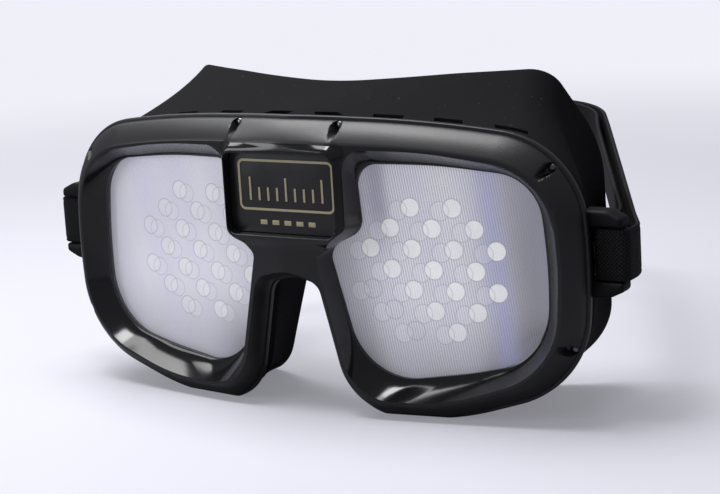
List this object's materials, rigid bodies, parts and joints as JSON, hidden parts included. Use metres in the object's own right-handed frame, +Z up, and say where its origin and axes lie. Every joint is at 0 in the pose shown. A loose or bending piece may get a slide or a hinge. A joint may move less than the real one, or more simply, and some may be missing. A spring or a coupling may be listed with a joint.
{
  "type": "alcohol impairment goggles",
  "caption": "Twin-lens impairment goggles: a rigid black bezel with frosted distortion lenses, a soft face shell with a nose arch, and an elastic headband with a slider.",
  "frame": {"origin": "bottom centre of the bounding box, under the middle of the face, level with the feet", "axes": "+X to the viewer's right when looking at the front, -Y out of the lenses, +Z up"},
  "size_m": [0.201, 0.175, 0.0978],
  "materials": {
    "bezel": "satin black moulding with a fine grain",
    "shell": "matte soft black vinyl",
    "plate": "satin dark plate",
    "marks": "printed pale gold",
    "stud": "dark polished metal",
    "lens": "clear pane",
    "grooved_film": "finely grooved translucent film",
    "spotted_film": "frosted film with round holes",
    "gasket": "soft black ring",
    "lug": "smooth black moulding",
    "webbing": "coarse knitted black elastic",
    "slider": "black moulding",
    "thread": "black thread"
  },
  "bodies": {
    "goggles": {"front_bezel": "bezel", "face_shell": "shell", "name_plate": "plate", "plate_marks": "marks", "snap_studs": "stud", "cover_lens_right": "lens", "cover_lens_left": "lens", "groove_film_right": "grooved_film", "groove_film_left": "grooved_film", "disc_film_right": "spotted_film", "disc_film_left": "spotted_film", "lens_gasket_right": "gasket", "lens_gasket_left": "gasket", "strap_lug_right": "lug", "strap_lug_left": "lug", "strap_loop_right": "webbing", "strap_loop_left": "webbing"},
    "headband": {"headband": "webbing", "return_ply_right": "webbing", "return_ply_left": "webbing", "seam_stitching": "thread", "tail_stitching": "thread"},
    "slider": {"strap_slider": "slider"}
  },
  "joints": [
    {"name": "strap_tilt", "type": "hinge", "parent": "goggles", "child": "headband", "pos_m": [0, -0.04875, 0.05], "axis": [1, 0, 0], "range_deg": [-20, 26]},
    {"name": "slider_slide", "type": "slide", "parent": "headband", "child": "slider", "axis": [0.4508, 0.8885, 0.0856], "range_m": [-0.015, 0.035]}
  ]
}
